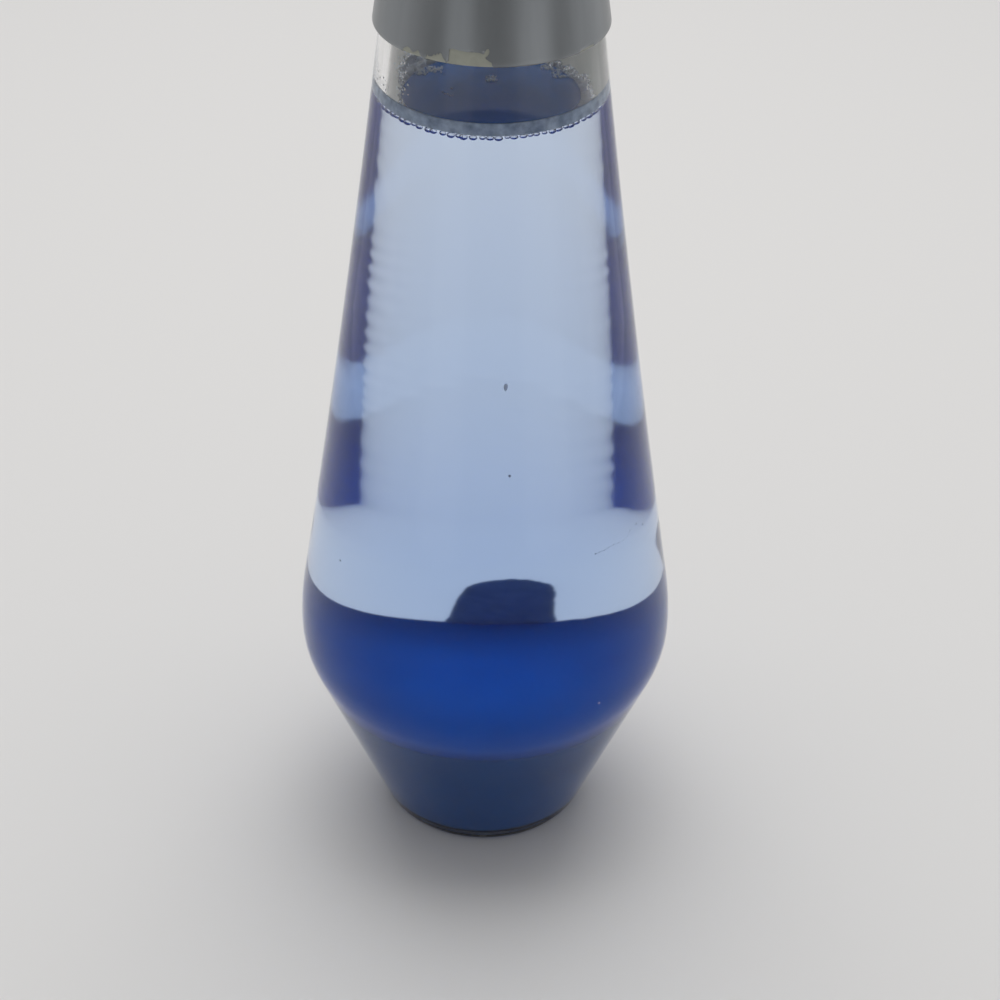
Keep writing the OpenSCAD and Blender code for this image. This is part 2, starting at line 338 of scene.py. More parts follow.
def textured(
    name, dark, light, scale, roughness, stretch=(1, 1, 1), bump=0.0, metallic=0.0, gloss=0.5,
    clearness=0.0, ior=1.5, mirror=1.0,
):
    """Colour and roughness that wander between two values with noise, and a bump from the same noise."""
    m, nodes, links, bsdf = new_material(name)
    place = nodes.new("ShaderNodeTexCoord")
    mapping = nodes.new("ShaderNodeMapping")
    mapping.inputs["Scale"].default_value = stretch
    grain = nodes.new("ShaderNodeTexNoise")
    grain.inputs["Scale"].default_value = scale
    grain.inputs["Detail"].default_value = GRAIN_DETAIL
    colours = nodes.new("ShaderNodeValToRGB")
    low, high = colours.color_ramp.elements
    low.position, low.color = GRAIN_LOW, (*dark, 1)
    high.position, high.color = GRAIN_HIGH, (*light, 1)
    rough = nodes.new("ShaderNodeMapRange")
    rough.inputs["To Min"].default_value, rough.inputs["To Max"].default_value = roughness
    links.new(place.outputs["Object"], mapping.inputs["Vector"])
    links.new(mapping.outputs["Vector"], grain.inputs["Vector"])
    links.new(grain.outputs["Fac"], colours.inputs["Fac"])
    links.new(colours.outputs["Color"], bsdf.inputs["Base Color"])
    links.new(grain.outputs["Fac"], rough.inputs["Value"])
    links.new(rough.outputs["Result"], bsdf.inputs["Roughness"])
    bsdf.inputs["Metallic"].default_value = metallic
    bsdf.inputs["Specular IOR Level"].default_value = gloss
    bsdf.inputs["Transmission Weight"].default_value = clearness
    bsdf.inputs["IOR"].default_value = ior
    bsdf.inputs["Specular Tint"].default_value = (mirror, mirror, mirror, 1)
    if bump:
        relief = nodes.new("ShaderNodeBump")
        relief.inputs["Strength"].default_value = bump
        relief.inputs["Distance"].default_value = BUMP_HIGH
        links.new(grain.outputs["Fac"], relief.inputs["Height"])
        links.new(relief.outputs["Normal"], bsdf.inputs["Normal"])
    return m


def paint_shade_out(m, back, near, far, share):
    """Paints shade into a material's colour, darker away from a line behind the axis.

    The colour is whole up to the distance near, and only a share of it is left from the distance far on.
    """
    nodes, links = m.node_tree.nodes, m.node_tree.links
    place, across, away = (nodes.new("ShaderNode" + n) for n in ("TexCoord", "VectorMath", "VectorMath"))
    across.operation, away.operation = "MULTIPLY_ADD", "LENGTH"
    across.inputs[1].default_value, across.inputs[2].default_value = (1, 1, 0), (0, -back, 0)
    fall = nodes.new("ShaderNodeMapRange")
    for socket, value in zip(("From Min", "From Max", "To Min", "To Max"), (near, far, 1, share)):
        fall.inputs[socket].default_value = value
    darken = nodes.new("ShaderNodeVectorMath")
    darken.operation = "SCALE"
    colour = nodes["Principled BSDF"].inputs["Base Color"]
    links.new(place.outputs["Object"], across.inputs[0])
    links.new(across.outputs["Vector"], away.inputs[0])
    links.new(away.outputs["Value"], fall.inputs["Value"])
    links.new(colour.links[0].from_socket, darken.inputs[0])
    links.new(fall.outputs["Result"], darken.inputs["Scale"])
    links.new(darken.outputs["Vector"], colour)


GLASS_IOR, LIQUID_IOR = 1.5, 1.40
LIQUID_COLOUR, LIQUID_DENSITY = (0.17, 0.48, 0.90), 11.0


def liquid_material():
    m = clear("liquid", 1.0)
    absorb = m.node_tree.nodes.new("ShaderNodeVolumeAbsorption")
    absorb.inputs["Color"].default_value = (*LIQUID_COLOUR, 1)
    absorb.inputs["Density"].default_value = LIQUID_DENSITY
    m.node_tree.links.new(absorb.outputs[0], m.node_tree.nodes["Material Output"].inputs["Volume"])
    return m


GLASS = clear("clear_glass", GLASS_IOR, roughness=0.06, mirror=0.35)
WET_GLASS = clear("wet_glass", GLASS_IOR / LIQUID_IOR)
AIR = clear("air_bubble", LIQUID_IOR)
DROP = clear("droplet", LIQUID_IOR)
LIQUID = liquid_material()
WAX = textured(
    "wax", (0.006, 0.150, 0.59), (0.009, 0.180, 0.68), 60, roughness=(0.3, 0.45), bump=0.1, gloss=0.0,
)
# Painted shade: the wax darkens towards the glass, the most at the front, where less light reaches it
paint_shade_out(WAX, back=0.010, near=0.006, far=0.042, share=0.50)
LUMP = textured(
    "wax_lump", (0.14, 0.235, 0.44), (0.18, 0.285, 0.52), 400, roughness=(0.4, 0.6), bump=0.3, gloss=0.0,
)
SURFACE = clear("liquid_surface", LIQUID_IOR, mirror=0.5)
# Painted shade: a mostly opaque dark blue film on the liquid's top, standing in for the dark view down
# through it
SHADE_FILM = textured(
    "painted_shade_film", (0.020, 0.165, 0.560), (0.040, 0.220, 0.680), 70, roughness=(0.05, 0.08), gloss=0.15,
    clearness=0.15, ior=LIQUID_IOR, mirror=0.15,
)
# Froth's side, partly painted shade: its blue-grey also stands in for the darker view the liquid's rim gives
# through the front glass
FROTH_AND_SHADE = textured(
    "froth", (0.20, 0.30, 0.48), (0.66, 0.80, 1.0), 480, roughness=(0.3, 0.45), bump=0.3, clearness=0.25,
)
FROTH_TOP = textured(
    "froth_top", (0.86, 0.90, 0.94), (1.0, 1.0, 1.0), 160, roughness=(0.5, 0.7), bump=0.4,
    clearness=0.75, ior=1.15,
)
FOAM = textured("foam", (0.82, 0.90, 1.0), (0.94, 0.98, 1.0), 900, roughness=(0.3, 0.5), bump=0.4)
RESIDUE = textured(
    "dried_film", (0.78, 0.81, 0.79), (0.97, 0.98, 0.96), 260, stretch=(1, 1, 0.1), roughness=(0.5, 0.7),
    bump=0.2, clearness=0.4, ior=1.1,
)
PAINT = textured(
    "cap_paint", (0.178, 0.192, 0.203), (0.247, 0.262, 0.277), 90, stretch=(1, 1, 0.04),
    roughness=(0.24, 0.34), bump=0.05, metallic=0.6,
)
PRIMER = textured("cap_primer", (0.33, 0.34, 0.29), (0.42, 0.43, 0.37), 300, roughness=(0.5, 0.7), bump=0.2)
BARE = textured(
    "cap_bare_metal", (0.30, 0.30, 0.30), (0.42, 0.42, 0.41), 120, stretch=(1, 1, 0.1), roughness=(0.4, 0.55),
    bump=0.1, metallic=1.0,
)
TINPLATE = textured(
    "tinplate", (0.55, 0.53, 0.48), (0.70, 0.68, 0.63), 200, roughness=(0.25, 0.4), bump=0.05, metallic=1.0,
)
LINER = textured("liner", (0.66, 0.63, 0.55), (0.76, 0.73, 0.66), 250, roughness=(0.5, 0.65), bump=0.1)
WIRE = textured(
    "spring_wire", (0.42, 0.42, 0.43), (0.58, 0.58, 0.59), 400, roughness=(0.25, 0.4), bump=0.05,
    metallic=1.0,
)
SPECK = textured("wax_speck", (0.26, 0.31, 0.42), (0.34, 0.40, 0.52), 900, roughness=(0.4, 0.6), bump=0.1)
PALE_SPECK = textured(
    "pale_speck", (0.62, 0.70, 0.84), (0.72, 0.80, 0.94), 900, roughness=(0.4, 0.6), bump=0.1,
    clearness=0.4, ior=1.05,
)


# Glass

RIPPLE_STEPS = 160  # points up the outer side, enough for its ripples
RIPPLE, RIPPLE_Z = 0.007, 5.6  # height of the ripples, and their length up the wall
RIPPLE_SHIFT, RIPPLE_LONG = 2.5, 26.0  # how many lengths they wander, and over what distance
RIPPLE_MEAN, RIPPLE_VARY, RIPPLE_PATCH = 0.5, 1.3, 17  # their strength, how it varies, and over what distance
RIPPLE_APART = Vector((0, 0, 7))  # between the two noises
RIPPLE_LOW, RIPPLE_HIGH, RIPPLE_FADE = 62, 204, 18  # where they lie, and their fade at both ends
BODY_END = 3  # the outer side ends this far under the shoulder's corner


def ripple(v):
    """Moves a point of the outer side by the shallow ripples of blown glass."""
    fade = max(0, min(1, (v.z - RIPPLE_LOW) / RIPPLE_FADE, (RIPPLE_HIGH - v.z) / RIPPLE_FADE))
    if not fade or v.xy.length < wall_r(GLASS_WALL / 2, v.z):
        return v
    shift = RIPPLE_SHIFT * noise.noise(v / RIPPLE_LONG)
    strength = RIPPLE_MEAN + RIPPLE_VARY * noise.noise(v / RIPPLE_PATCH + RIPPLE_APART)
    wave = math.sin(2 * math.pi * (v.z / RIPPLE_Z + shift)) * strength
    return v + Vector((v.x, v.y, 0)).normalized() * (RIPPLE * fade * wave)


def glass():
    ring = point(REST_RING_R, 0)
    punt = point(REST_RING_R - PUNT_H, PUNT_H)
    bead_z = MOUTH_Z - BEAD_H
    under_bead, bead_low, bead_top = point(NECK_R, bead_z), point(BEAD_R, bead_z), point(BEAD_R, MOUTH_Z)
    lip = point(BORE_R, MOUTH_Z)
    body = [p for p in wall(0, RIPPLE_STEPS) if p.y < SHOULDER_Z - BODY_END]
    outer = [
        point(0, PUNT_H),
        *rounded(point(0, PUNT_H), punt, ring, PUNT_H / 2),
        *rounded(punt, ring, FOOT, REST_RING_ROUND),
        *rounded(ring, FOOT, body[0], FOOT_ROUND),
        *body,
        *rounded(body[-1], SHOULDER, NECK, SHOULDER_ROUND),
        *rounded(SHOULDER, NECK, under_bead, NECK_ROUND),
        under_bead,
        *rounded(under_bead, bead_low, bead_top, (BEAD_R - NECK_R) / 2),
        *rounded(bead_low, bead_top, lip, BEAD_ROUND),
    ]
    inner = cut_at(inside(GLASS_WALL), WAX_Z, FILL_Z)[::-1]
    spans = [(min(a.y, b.y), max(a.y, b.y)) for a, b in zip(inner, inner[1:])]
    wet = [WAX_Z - SLACK < low and high < FILL_Z + SLACK for low, high in spans]
    stretches = [0] * len(outer) + [int(w) for w in wet]
    obj = lathe("globe_glass", outer + inner, "globe", [GLASS, WET_GLASS], stretches, shape=ripple)
    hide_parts("glass_globe")


# Wax and its wire

WAX_SINK = 0.1  # how far the wax reaches into the glass, so that no gap shows
WAX_RINGS = 48
SWELL, SWELL_LONG, SWELL_FADE = 0.12, 14, 4  # slow swells on the wax's top: height, length, fade at its edge
# The wax's edge on the glass is a little low at the back and the sides, and climbs at the front
WAX_BACK, WAX_SIDE, WAX_FRONT = -0.4, -0.2, 2.0
WAX_BEND = 8  # the stretch of the wax's side below its top that follows the edge


def wax_edge(v):
    """How far the wax's edge is off its level, in the direction of a point."""
    cosine = v.y / max(v.xy.length, ON_AXIS)
    mean, lean = (WAX_BACK + WAX_FRONT) / 2, (WAX_BACK - WAX_FRONT) / 2
    middle = (mean + WAX_SIDE) / 2
    return middle + lean * cosine + (mean - middle) * (2 * cosine * cosine - 1)


def wax_pool():
    side = between(inside(GLASS_WALL - WAX_SINK), FLOOR_Z - WAX_SINK, WAX_Z)
    low = WAX_Z - WAX_BEND
    side = between(side, side[0].y, low) + [
        point(wall_r(GLASS_WALL - WAX_SINK, low + i), low + i) for i in range(1, WAX_BEND + 1)
    ]
    edge = side[-1].x
    top = [point(edge * (1 - i / WAX_RINGS), WAX_Z) for i in range(1, WAX_RINGS + 1)]

    def uneven(v):
        if v.z < WAX_Z - SLACK:
            z = v.z + wax_edge(v) * max(0, v.z - low) / WAX_BEND
            out = v.xy.normalized() * wall_r(GLASS_WALL - WAX_SINK, z) if v.z > low else v.xy
            return Vector((out.x, out.y, z))
        inset = edge - v.xy.length
        z = WAX_Z + wax_edge(v) * (v.xy.length / edge) ** 2
        if inset < SLACK:
            out = v.xy.normalized() * wall_r(GLASS_WALL - WAX_SINK, z)
            return Vector((out.x, out.y, z))
        swell = SWELL * min(1, inset / SWELL_FADE) * (1 + noise.noise(v / SWELL_LONG))
        return Vector((v.x, v.y, z - swell))

    obj = lathe("wax_settled", side + top, "globe", WAX, shape=uneven)
    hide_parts("wax_pool")


# The lump's outline from the front: places across and heights above the wax
LUMP_EDGE = [
    (-4.5, -1.0), (-4.1, 0.2), (-3.8, 0.9), (-3.4, 3.0), (-3.0, 5.2), (-2.5, 6.9), (-2.0, 8.3), (-1.2, 9.2),
    (-0.35, 9.8), (0.85, 10.2), (2.0, 10.45), (3.5, 10.15), (4.6, 9.5), (5.4, 8.8), (5.9, 7.8), (6.1, 6.6),
    (6.25, 3.1), (6.35, 1.4), (6.6, 0.3), (6.9, -1.0),
]
LUMP_EDGE_T, LUMP_T = 0.15, 1.7  # thickness at the edge, and what the middle adds
LUMP_SLOPE = 2.2  # distance from the edge over which it thickens
LUMP_GRID, LUMP_EDGE_STEPS = 0.5, 4
LUMP_RAGGED, LUMP_RAGGED_FINE = 0.15, 1.7  # raggedness of the edge, and how fine it is
LUMP_ROUGH, LUMP_ROUGH_FINE = 0.25, 0.9  # unevenness of the front, and how fine it is
LUMP_RAGGED_LAYER, LUMP_ROUGH_LAYER = 4, 9  # the layers of noise that give them
FILL_CLEAR = 0.6  # inner points stay off the outline by this share of the grid
FILL_SAME = 1e-5  # points nearer than this are one


def fill_outline(edge, grid):
    """Triangles that fill a closed outline, with inner points on a grid."""
    xs, ys = [p.x for p in edge], [p.y for p in edge]
    points = list(edge)
    for i in range(int((max(xs) - min(xs)) / grid)):
        for j in range(int((max(ys) - min(ys)) / grid)):
            p = point(min(xs) + (i + 0.5) * grid, min(ys) + (j + 0.5) * grid)
            if in_outline(p, edge) and to_outline(p, edge) > grid * FILL_CLEAR:
                points.append(p)
    ties = [(i, (i + 1) % len(edge)) for i in range(len(edge))]
    verts, _, faces, _, _, _ = geometry.delaunay_2d_cdt(points, ties, [], 0, FILL_SAME)
    keep = [f for f in faces if in_outline(sum((verts[i] for i in f), point(0, 0)) / len(f), edge)]
    return verts, keep


def in_outline(p, edge):
    inside_it = False
    for a, b in zip(edge, edge[1:] + edge[:1]):
        if (a.y > p.y) != (b.y > p.y) and p.x < a.x + (b.x - a.x) * (p.y - a.y) / (b.y - a.y):
            inside_it = not inside_it
    return inside_it


def to_outline(p, edge):
    """Distance from p to the nearest edge of an outline."""
    best = math.inf
    for a, b in zip(edge, edge[1:] + edge[:1]):
        t = max(0, min(1, (p - a).dot(b - a) / (b - a).length_squared))
        best = min(best, (p - a - (b - a) * t).length)
    return best


def rim_edges(faces):
    """The edges that only one face has, in that face's direction."""
    seen = {}
    for f in faces:
        for a, b in zip(f, f[1:] + f[:1]):
            seen[(a, b)] = (b, a)
    return [e for e, back in seen.items() if back not in seen]


def flat_noise(p, fine, layer):
    """Noise at a flat point; each layer has its own."""
    return noise.noise(Vector((p.x * fine, p.y * fine, layer)))


def wax_lump():
    edge = []
    for (x, z), (x1, z1) in zip(LUMP_EDGE, LUMP_EDGE[1:] + LUMP_EDGE[:1]):
        for k in range(LUMP_EDGE_STEPS):
            p = point(x + (x1 - x) * k / LUMP_EDGE_STEPS, z + (z1 - z) * k / LUMP_EDGE_STEPS)
            edge.append(p + point(1, 1) * (LUMP_RAGGED * flat_noise(p, LUMP_RAGGED_FINE, LUMP_RAGGED_LAYER)))
    flat, faces = fill_outline(edge, LUMP_GRID)

    def on_wall(p, depth):
        z = WAX_Z + p.y
        r = wall_r(GLASS_WALL - WAX_SINK, z) - depth
        return Vector((p.x, math.sqrt(r * r - p.x * p.x), z))

    def depth(p):
        d = to_outline(p, edge)
        rough = LUMP_ROUGH * flat_noise(p, LUMP_ROUGH_FINE, LUMP_ROUGH_LAYER)
        return LUMP_EDGE_T + (LUMP_T + rough) * (1 - math.exp(-d / LUMP_SLOPE))

    count = len(flat)
    verts = [on_wall(p, depth(p)) for p in flat] + [on_wall(p, 0) for p in flat]
    solid = [list(f) for f in faces] + [[i + count for i in reversed(f)] for f in faces]
    solid += [[b, a, a + count, b + count] for a, b in rim_edges([list(f) for f in faces])]
    obj = make("wax_lump_form", verts, solid, "globe", [LUMP, WAX])
    against_glass = range(len(faces), 2 * len(faces))
    obj.data.polygons.foreach_set("material_index", [int(i in against_glass) for i in range(len(solid))])
    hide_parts("wax_lump")


CURL_RINGS, WIRE_SIDES = 24, 12


def wire_coil():
    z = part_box("wire_coil")[0][2] / MM + CURL_R + WIRE_R
    steps = CURLS * CURL_RINGS
    span = 2 * math.pi - COIL_OPEN
    verts, faces = [], []
    for i in range(steps + 1):
        t, p = 2 * math.pi * i / CURL_RINGS, COIL_OPEN / 2 + span * i / steps
        spoke = Vector((math.cos(p), math.sin(p), 0))
        out = spoke * math.cos(t) + Vector((0, 0, math.sin(t)))
        round_curl = Vector((0, 0, math.cos(t))) - spoke * math.sin(t)
        pitch = span / (2 * math.pi * CURLS) * (COIL_RING_R + CURL_R * math.cos(t))
        along = Vector((-spoke.y, spoke.x, 0)) * pitch
        side = (round_curl * CURL_R + along).normalized().cross(out)
        middle = spoke * COIL_RING_R + Vector((0, 0, z)) + out * CURL_R
        for k in range(WIRE_SIDES):
            a = 2 * math.pi * k / WIRE_SIDES
            verts.append(middle + (out * math.cos(a) + side * math.sin(a)) * WIRE_R)
    for i in range(steps):
        for k in range(WIRE_SIDES):
            a, b = i * WIRE_SIDES + k, i * WIRE_SIDES + (k + 1) % WIRE_SIDES
            faces.append((a, a + WIRE_SIDES, b + WIRE_SIDES, b))
    faces.append(tuple(range(WIRE_SIDES)))
    faces.append(tuple(reversed(range(steps * WIRE_SIDES, (steps + 1) * WIRE_SIDES))))
    obj = make("coil_wire", verts, faces, "globe", WIRE)
    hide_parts("wire_coil")


# Liquid, froth, bubbles and drops

LIQUID_GAP = 0.03  # between the liquid's body and the glass
LIQUID_DIP = 0.3  # how far the liquid's body reaches into the wax
SHADE_FILM_OFF = 0.3  # between the froth and the painted shade film on the liquid


def liquid():
    side = between(inside(GLASS_WALL + LIQUID_GAP), WAX_Z - LIQUID_DIP, FILL_Z - LIQUID_GAP)
    outline = [point(0, side[0].y), *side, point(0, side[-1].y)]
    body = lathe("liquid_fill", outline, "globe", LIQUID)
    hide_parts("fluid_fill")
    edge = wall_r(GLASS_WALL, FILL_Z)
    rings = [point(r, FILL_Z) for r in (edge, edge - COLLAR_W - SHADE_FILM_OFF, edge / 2, 0)]
    # The liquid's clear top at the rim, and the painted shade film inside it
    top = lathe("liquid_top", rings, "globe", [SURFACE, SHADE_FILM], [0, 1, 1])


# Width of the froth, its height at the glass and at its end, and the distance over which its top falls
COLLAR_W, COLLAR_H, COLLAR_THIN, COLLAR_FALL = 2.9, 2.6, 0.12, 0.9
# Degrees from the front at which the ring starts to narrow and over which it does, and its share at the back
COLLAR_FRONT, COLLAR_TAPER, COLLAR_BACK = 42, 26, 0.3
FROTH_CELL, FROTH_BUMP, FROTH_LEAN = 0.55, 0.16, 60  # width and height of its cells, which lean to the axis
FROTH_TURNS, FROTH_SIDE_STEPS, FROTH_TOP_STEPS = 640, 8, 20
FROTH_GAP = 0.02  # between the froth and the liquid
FROTH_FOOT = 0.05  # the froth is even up to this height
FROTH_SINK = 0.06  # how far froth and film reach into the glass, so that they wet it


def froth_top(away):
    """Height of the froth's top above the liquid, at a distance from the glass."""
    return COLLAR_THIN + (COLLAR_H - COLLAR_THIN) * math.exp(-max(0, away) / COLLAR_FALL)


def froth_collar():
    """The ring of fine froth on the liquid's rim, which climbs the glass; its blue-grey side is partly
    painted shade.
    """
    steps = range(FROTH_SIDE_STEPS + 1)
    rise = [FILL_Z + FROTH_GAP + (COLLAR_H - FROTH_GAP) * i / FROTH_SIDE_STEPS for i in steps]
    outer = [point(wall_r(GLASS_WALL - FROTH_SINK, z), z) for z in rise]
    edge = outer[-1].x
    ways = [COLLAR_W * i / FROTH_TOP_STEPS for i in range(1, FROTH_TOP_STEPS + 1)]
    top = [point(edge - way, FILL_Z + froth_top(way)) for way in ways]
    inner = [point(edge - COLLAR_W, FILL_Z + FROTH_GAP), outer[0]]

    def foam(v):
        away = wall_r(GLASS_WALL, v.z) - v.xy.length
        if away < FROTH_GAP or v.z < FILL_Z + FROTH_FOOT:
            return v
        turn = math.degrees(abs(math.atan2(v.x, -v.y)))
        share = 1 - (1 - COLLAR_BACK) * max(0, min(1, (turn - COLLAR_FRONT) / COLLAR_TAPER))
        v = Vector((v.x, v.y, v.z)) + v.xy.normalized().to_3d() * (away * (1 - share))
        d = noise.voronoi(v / FROTH_CELL)[0][0]
        way = Vector((-v.x / FROTH_LEAN, -v.y / FROTH_LEAN, 1))
        return v + way * (FROTH_BUMP * min(1, away) * (1 - 2 * d * d))

    slots = [0] * (len(outer) - 1) + [1] * (len(top) + len(inner))
    obj = lathe("froth_collar", outer + top + inner, "globe", [FROTH_AND_SHADE, FROTH_TOP], slots, FROTH_TURNS, foam)


def on_liquid(x, y):
    """Where the ray through the picture's point x, y meets the froth or the liquid's top."""
    way = view_way(x, y)
    z = FILL_Z - GLASS_LIFT
    p = CAMERA_PLACE + way * ((z - CAMERA_PLACE.z) / way.z)
    reach = wall_r(GLASS_WALL, FILL_Z) - FOAM_OFF
    across = p.xy if p.xy.length < reach else p.xy.normalized() * reach
    return Vector((across.x, across.y, FILL_Z + froth_top(wall_r(GLASS_WALL, FILL_Z) - across.length)))


# Bubbles under the froth: number, unevenness of their spacing, radius, height as a share of it, and place
BUBBLES, BUBBLE_APART = 84, 0.3
BUBBLE_R, BUBBLE_SQUASH = (0.6, 0.95), (0.58, 0.8)
BUBBLE_UNDER, BUBBLE_OFF = 0.08, 0.1  # under the liquid's top, and off the glass
BUBBLE_SEED = 5
# Drops on the glass above the froth: number, radius, shape, and height above the froth
SPRAY, SPRAY_R = 200, (0.08, 0.24)
SPRAY_FLAT, SPRAY_LONG = 0.5, 1.1
SPRAY_LOW, SPRAY_SPREAD = 0.3, 1.6
SPRAY_START, SPRAY_SPAN = math.radians(-30), math.radians(240)  # they leave the front of the glass clear
GLASS_LIFT = 0.3  # how far the glass shifts the image of the liquid's top
FOAM_OFF, FOAM_SMALLEST = 0.3, 0.4  # foam's distance from the glass, and its smallest share of a radius
# Patches of coarse foam on the liquid: the picture's corners, number of bubbles and their largest radius
FOAM_PATCHES = [
    (412, 61, 424, 74, 60, 0.36),
    (424, 66, 441, 72, 40, 0.30),
    (543, 63, 556, 70, 40, 0.32),
    (553, 66, 580, 78, 90, 0.30),
    (486, 76, 497, 82, 30, 0.26),
    (441, 88, 454, 96, 6, 0.16),
]


def spin(t):
    return Matrix.Rotation(t, 3, "Z")


def bubbles():
    rng = random.Random(BUBBLE_SEED)
    hanging, spray, coarse = [], [], []
    for k in range(BUBBLES):
        t = 2 * math.pi * (k + rng.uniform(-BUBBLE_APART, BUBBLE_APART)) / BUBBLES
        r = rng.uniform(*BUBBLE_R)
        high = r * rng.uniform(*BUBBLE_SQUASH)
        z = FILL_Z - high - BUBBLE_UNDER
        middle = turned(point(wall_r(GLASS_WALL + BUBBLE_OFF, z) - r, z), t)
        hanging.append((middle, (r, r, high), spin(t)))
    for k in range(SPRAY):
        t = SPRAY_START + rng.uniform(0, SPRAY_SPAN)
        r = rng.uniform(*SPRAY_R)
        z = FILL_Z + COLLAR_H + abs(rng.gauss(0, SPRAY_SPREAD)) + SPRAY_LOW
        middle = turned(point(wall_r(GLASS_WALL, z), z), t)
        spray.append((middle, (r * SPRAY_FLAT, r, r * SPRAY_LONG), spin(t)))
    for x0, y0, x1, y1, count, largest in FOAM_PATCHES:
        for k in range(count):
            r = rng.uniform(FOAM_SMALLEST, 1) * largest
            middle = on_liquid(rng.uniform(x0, x1), rng.uniform(y0, y1))
            coarse.append((middle, (r, r, r), spin(0)))
    scatter("hanging_bubbles", hanging, "globe", AIR, detail=3, flip=True)
    scatter("inner_drops", spray, "globe", DROP)
    scatter("foam_patches", coarse, "globe", FOAM)


# Specks and a faint scratch on the inside of the front wall: the picture's points, half widths across and up
SPECKS = [
    (511, 482, 0.26, 0.34), (641, 526, 0.2, 0.24), (647, 526, 0.2, 0.24),
    (335, 563, 0.26, 0.26), (601, 558, 0.24, 0.16), (605, 556, 0.3, 0.13), (610, 554, 0.24, 0.13),
    (614, 551, 0.2, 0.13), (619, 548, 0.24, 0.11), (624, 546, 0.22, 0.11), (629, 543, 0.18, 0.11),
    (633, 539, 0.12, 0.16), (635, 533, 0.11, 0.2),
]
PALE_SPECKS = [(507, 393, 0.42, 0.95)]
GLINT = [(603, 706, 0.3, 0.16)]  # a painted glint: a white spot between the wax and the glass, written as the specks are
SPECK_T, SPECK_DEEP = 0.12, 0.1  # half thickness of a speck, and depth of its middle inside the glass


def on_outside(x, y):
    """Turn round the axis and height of the picture's point x, y on the outside of the glass."""
    p = hit(x, y, lambda z: wall_r(0, round(z, 2)) if 2 * FLOOR_Z < z < FILL_Z else 0)
    return math.atan2(p.y, p.x), p.z


def on_inside(t, z, depth):
    """The point of the inner wall at a turn and a height, moved in by depth."""
    return turned(point(wall_r(GLASS_WALL + depth, z), z), t)


def wax_marks():
    kinds = [
        ("wax_specks", SPECKS, SPECK_DEEP, SPECK),
        ("pale_speck", PALE_SPECKS, SPECK_DEEP, PALE_SPECK),
        # the painted glint is a ball of white foam
        ("wax_glint", GLINT, -WAX_SINK, FOAM),
    ]
    for name, spots, depth, material in kinds:
        places = []
        for x, y, wide, high in spots:
            t, z = on_outside(x, y)
            places.append((on_inside(t, z, depth), (SPECK_T, wide, high), spin(t)))
        scatter(name, places, "globe", material)


# Pale dried film on the inside of the glass above the froth, at the left and the right of the front. Its ends
# are heights above the liquid and turns from the front, in degrees.
FILM_ENDS = {
    -1: [(1.5, 53), (6, 55), (9, 57), (12, 54), (14, 49), (17, 44)],
    1: [(1.5, 68), (8, 60), (10.5, 51), (12.5, 41), (14, 36), (17, 33)],
}
FILM_BACK_ENDS = [(1.5, 128), (5, 112), (9, 102), (13, 88), (17, 74)]
FILM_LOW, FILM_HIGH = 1.5, 15.5
FILM_ROWS, FILM_COLUMNS, FILM_T = 90, 70, 0.06
FILM_OFF = 0.03  # the left film has come off the glass
FILM_DEPTHS = {-1: (FILM_OFF, FILM_OFF + FILM_T), 1: (-FROTH_SINK, FILM_T)}
# Raggedness of the film's ends: how far, how fine, and the two other places of its noise
FILM_RAGGED = {"front": (3.0, 1.6, 5, 2), "back": (11.0, 0.7, 9, 5), "top": (2.4, 0.12, 3, 8)}
# Specks and drops along the film's front end: number and radius, shape, place, and the share of specks
FILM_SPECKS, FILM_SPECK_R = 150, (0.07, 0.24)
FILM_SPECK_FLAT, FILM_SPECK_LONG, FILM_SPECK_SINK = 0.5, 1.2, 0.3
FILM_SPECK_LOW, FILM_SPECK_TURN, FILM_SPECK_SPREAD = 0.6, -1, 2.4
FILM_WHITE = 0.6
FILM_SEED = 8


def film_end(ends, up):
    """Turn from the front at which a film ends, at a height above the liquid."""
    for (low, a), (high, b) in zip(ends, ends[1:]):
        if up <= high:
            return a + (b - a) * (up - low) / (high - low)
    return ends[-1][1]


def ragged(end, side, along):
    """How far an end of the film is off its line, at a place along it."""
    far, fine, apart, layer = FILM_RAGGED[end]
    return far * noise.noise(Vector((side * apart, along * fine, layer)))


def on_glass(side, turn, up, depth):
    """The point of the inner wall at a turn from the front to a side, moved in by depth."""
    r, t = wall_r(GLASS_WALL + depth, round(FILL_Z + up, 3)), math.radians(turn)
    return Vector((side * r * math.sin(t), -r * math.cos(t), FILL_Z + up))


